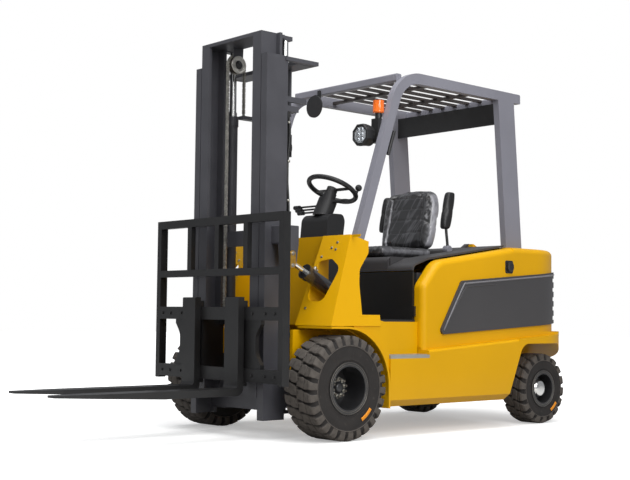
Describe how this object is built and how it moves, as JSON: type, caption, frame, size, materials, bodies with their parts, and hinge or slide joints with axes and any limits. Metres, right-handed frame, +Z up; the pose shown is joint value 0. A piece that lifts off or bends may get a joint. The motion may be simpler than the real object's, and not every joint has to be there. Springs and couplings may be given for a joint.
{
  "type": "electric counterbalance forklift",
  "caption": "Electric counterbalance forklift with a tilting two-stage mast, fork carriage, steered rear wheels, overhead guard and a hinged seat hood.",
  "frame": {"origin": "middle of the footprint, from the fork tips to the counterweight, on the floor", "axes": "+Z up, +X to the truck's left, -Y forward along the forks"},
  "size_m": [1.321, 3.701, 2.264],
  "materials": {
    "body_yellow": "gloss enamel",
    "guard_grey": "satin enamel",
    "panel_grey": "fine-grained moulding",
    "black_steel": "satin black paint",
    "mast_charcoal": "satin charcoal paint",
    "fork_black": "satin black paint, worn on the blades",
    "black_plastic": "grained black plastic",
    "step_aluminium": "ribbed tread",
    "battery_case": "plain case",
    "lamp_orange": "clear orange lens",
    "lamp_red": "clear red lens",
    "tyre_rubber": "solid rubber, dusty tread",
    "rim_black": "black paint",
    "cylinder_black": "gloss black paint",
    "chrome_rod": "hard chrome",
    "chain_steel": "oiled steel",
    "seat_vinyl": "black vinyl"
  },
  "bodies": {
    "chassis": {"chassis_frame": "body_yellow", "front_cowl": "body_yellow", "floor_plate": "black_steel", "steps": "step_aluminium", "battery": "battery_case", "side_cover_left": "body_yellow", "side_cover_right": "body_yellow", "side_panels": "panel_grey", "front_panel": "black_steel", "counterweight": "body_yellow", "overhead_guard": "guard_grey", "guard_roof": "guard_grey", "guard_rear_panel": "black_steel", "dash": "black_plastic", "steering_column": "black_plastic", "control_levers": "black_plastic", "pedals": "black_plastic", "headlamps": "black_steel", "turn_lamps": "lamp_orange", "tail_lamps": "lamp_red", "grab_handle": "black_steel", "mirror": "black_plastic", "drive_axle": "black_steel", "steer_axle": "black_steel"},
    "mast_stage_outer": {"outer_mast": "mast_charcoal", "lift_tubes": "mast_charcoal", "chains_rear": "chain_steel"},
    "mast_stage_inner": {"inner_mast": "mast_charcoal", "lift_rods": "chrome_rod", "chain_pulleys": "chain_steel", "chains_front": "chain_steel"},
    "fork_carriage": {"carriage": "fork_black", "backrest": "fork_black", "fork_left": "fork_black", "fork_right": "fork_black"},
    "front_wheel_left": {"tyre_front_left": "tyre_rubber", "rim_front_left": "rim_black"},
    "front_wheel_right": {"tyre_front_right": "tyre_rubber", "rim_front_right": "rim_black"},
    "steer_knuckle_left": {"knuckle_left": "black_steel"},
    "steer_knuckle_right": {"knuckle_right": "black_steel"},
    "rear_wheel_left": {"tyre_rear_left": "tyre_rubber", "rim_rear_left": "rim_black"},
    "rear_wheel_right": {"tyre_rear_right": "tyre_rubber", "rim_rear_right": "rim_black"},
    "hand_wheel": {"steering_wheel": "black_plastic"},
    "seat_hood": {"hood": "panel_grey", "seat_base": "black_plastic", "seat_cushion": "seat_vinyl", "seat_back": "seat_vinyl", "armrests": "black_plastic"},
    "tilt_barrel_left": {"tilt_tube_left": "cylinder_black"},
    "tilt_barrel_right": {"tilt_tube_right": "cylinder_black"},
    "tilt_piston_left": {"tilt_rod_left": "chrome_rod"},
    "tilt_piston_right": {"tilt_rod_right": "chrome_rod"}
  },
  "joints": [
    {"name": "mast_tilt", "type": "hinge", "parent": "chassis", "child": "mast_stage_outer", "pos_m": [0, -0.2995, 0.287], "axis": [-1, 0, 0], "range_deg": [-6, 10]},
    {"name": "mast_lift", "type": "slide", "parent": "mast_stage_outer", "child": "mast_stage_inner", "axis": [0, 0, 1], "range_m": [-0.11, 1.39], "deforming": ["chains_rear"]},
    {"name": "carriage_lift", "type": "slide", "parent": "mast_stage_inner", "child": "fork_carriage", "axis": [0, 0, 1], "range_m": [-0.11, 1.39], "deforming": ["chains_front"]},
    {"name": "front_left_roll", "type": "hinge", "parent": "chassis", "child": "front_wheel_left", "pos_m": [0.548, -0.2995, 0.287], "axis": [1, 0, 0], "continuous": true},
    {"name": "front_right_roll", "type": "hinge", "parent": "chassis", "child": "front_wheel_right", "pos_m": [-0.548, -0.2995, 0.287], "axis": [1, 0, 0], "continuous": true},
    {"name": "steer_left", "type": "hinge", "parent": "chassis", "child": "steer_knuckle_left", "pos_m": [0.38, 1.4805, 0.224], "axis": [0, 0, 1], "range_deg": [-75, 75]},
    {"name": "steer_right", "type": "hinge", "parent": "chassis", "child": "steer_knuckle_right", "pos_m": [-0.38, 1.4805, 0.224], "axis": [0, 0, 1], "range_deg": [-75, 75]},
    {"name": "rear_left_roll", "type": "hinge", "parent": "steer_knuckle_left", "child": "rear_wheel_left", "pos_m": [0.511, 1.4805, 0.224], "axis": [1, 0, 0], "continuous": true},
    {"name": "rear_right_roll", "type": "hinge", "parent": "steer_knuckle_right", "child": "rear_wheel_right", "pos_m": [-0.511, 1.4805, 0.224], "axis": [1, 0, 0], "continuous": true},
    {"name": "steering_turn", "type": "hinge", "parent": "chassis", "child": "hand_wheel", "pos_m": [0, 0.1625, 1.455], "axis": [0, 0.4384, 0.8988], "range_deg": [-900, 900]},
    {"name": "hood_hinge", "type": "hinge", "parent": "chassis", "child": "seat_hood", "pos_m": [0, 1.1865, 1.146], "axis": [-1, 0, 0], "range_deg": [0, 60]},
    {"name": "tilt_swing_left", "type": "hinge", "parent": "chassis", "child": "tilt_barrel_left", "pos_m": [0.41, -0.0735, 0.75], "axis": [-1, 0, 0], "range_deg": [-7, 11.5]},
    {"name": "tilt_stroke_left", "type": "slide", "parent": "tilt_barrel_left", "child": "tilt_piston_left", "axis": [0, -0.8921, 0.4518], "range_m": [-0.098, 0.062]},
    {"name": "tilt_swing_right", "type": "hinge", "parent": "chassis", "child": "tilt_barrel_right", "pos_m": [-0.41, -0.0735, 0.75], "axis": [-1, 0, 0], "range_deg": [-7, 11.5]},
    {"name": "tilt_stroke_right", "type": "slide", "parent": "tilt_barrel_right", "child": "tilt_piston_right", "axis": [0, -0.8921, 0.4518], "range_m": [-0.098, 0.062]}
  ],
  "couplings": [
    {"joint": "carriage_lift", "follows": "mast_lift", "ratio": 1},
    {"joint": "steer_right", "follows": "steer_left", "ratio": 1},
    {"joint": "steering_turn", "follows": "steer_left", "ratio": -12},
    {"joint": "tilt_swing_left", "follows": "mast_tilt", "ratio": 1.0534},
    {"joint": "tilt_stroke_left", "follows": "mast_tilt", "m_per_rad": -0.5144},
    {"joint": "tilt_swing_right", "follows": "mast_tilt", "ratio": 1.0534},
    {"joint": "tilt_stroke_right", "follows": "mast_tilt", "m_per_rad": -0.5144}
  ]
}
